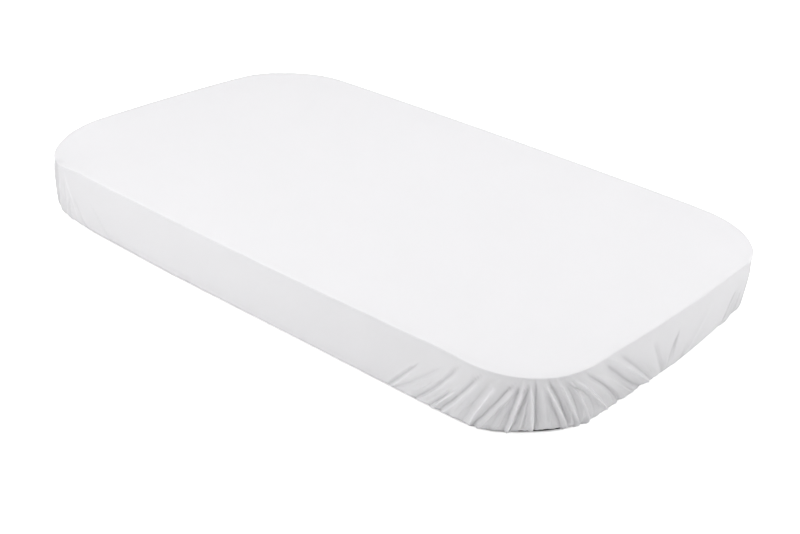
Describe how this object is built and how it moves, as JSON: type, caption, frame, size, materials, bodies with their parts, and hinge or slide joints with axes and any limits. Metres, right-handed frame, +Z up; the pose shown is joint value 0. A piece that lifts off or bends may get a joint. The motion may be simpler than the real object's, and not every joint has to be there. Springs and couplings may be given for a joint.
{
  "type": "fitted sheet on a mattress",
  "caption": "Plain white elasticated sheet in one piece, stretched over a small round-cornered mattress and gathered in under its lower edge.",
  "frame": {"origin": "middle of the object's box, on the surface that it rests on", "axes": "+X along the length, +Y across the width, +Z up out of the sleeping surface"},
  "size_m": [0.83, 0.499, 0.086],
  "materials": {
    "white_cotton": "plain woven white cotton, matt",
    "mattress_ticking": "plain off-white mattress cover, matt"
  },
  "bodies": {
    "root": {"fitted_sheet": "white_cotton", "mattress": "mattress_ticking"}
  },
  "joints": []
}
